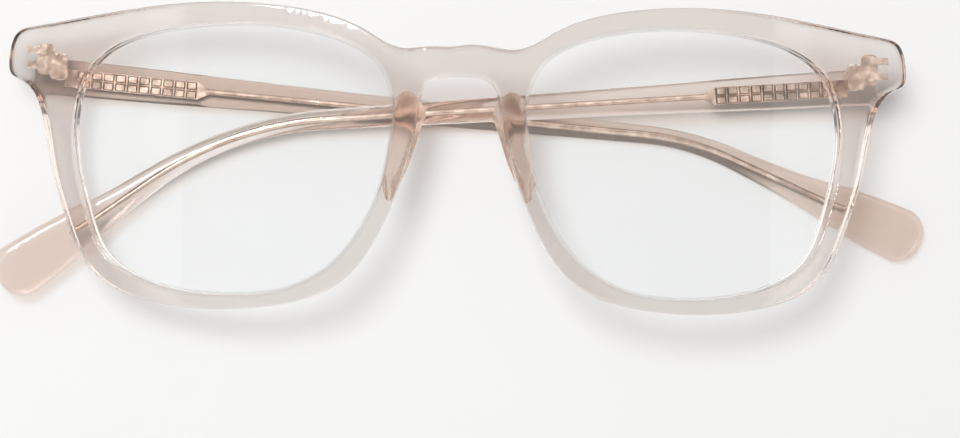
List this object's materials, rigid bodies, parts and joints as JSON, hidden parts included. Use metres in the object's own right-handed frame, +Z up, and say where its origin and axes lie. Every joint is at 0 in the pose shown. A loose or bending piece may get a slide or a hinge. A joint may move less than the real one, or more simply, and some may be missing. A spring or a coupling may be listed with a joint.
{
  "type": "eyeglasses",
  "caption": "Clear acetate eyeglasses lying folded, with screwed hinges, metal core wires in the temples and glued nose pads.",
  "frame": {"origin": "middle of the footprint, on the surface the folded glasses lie on", "axes": "+X towards the wearer's left, along the front; +Y towards the brow; +Z up, out of the front's face"},
  "size_m": [0.149, 0.0476, 0.0251],
  "materials": {
    "clear_acetate": "polished clear blush acetate",
    "pad_acetate": "polished clear rose acetate",
    "lens": "clear coated",
    "hinge_metal": "polished rose nickel",
    "core_metal": "knurled rose nickel",
    "screw_steel": "polished"
  },
  "bodies": {
    "front": {"front_frame": "clear_acetate", "left_lens": "lens", "right_lens": "lens", "left_nose_pad": "pad_acetate", "right_nose_pad": "pad_acetate", "left_front_hinge": "hinge_metal", "right_front_hinge": "hinge_metal", "left_hinge_screw": "screw_steel", "right_hinge_screw": "screw_steel"},
    "left_temple_arm": {"left_temple": "clear_acetate", "left_core_wire": "core_metal", "left_temple_hinge": "hinge_metal"},
    "right_temple_arm": {"right_temple": "clear_acetate", "right_core_wire": "core_metal", "right_temple_hinge": "hinge_metal"}
  },
  "joints": [
    {"name": "left_hinge", "type": "hinge", "parent": "front", "child": "left_temple_arm", "pos_m": [0.06037, 0.01349, 0.01216], "axis": [0, -1, 0], "range_deg": [0, 91.5]},
    {"name": "right_hinge", "type": "hinge", "parent": "front", "child": "right_temple_arm", "pos_m": [-0.06386, 0.01349, 0.00565], "axis": [0, 1, 0], "range_deg": [0, 87]}
  ]
}
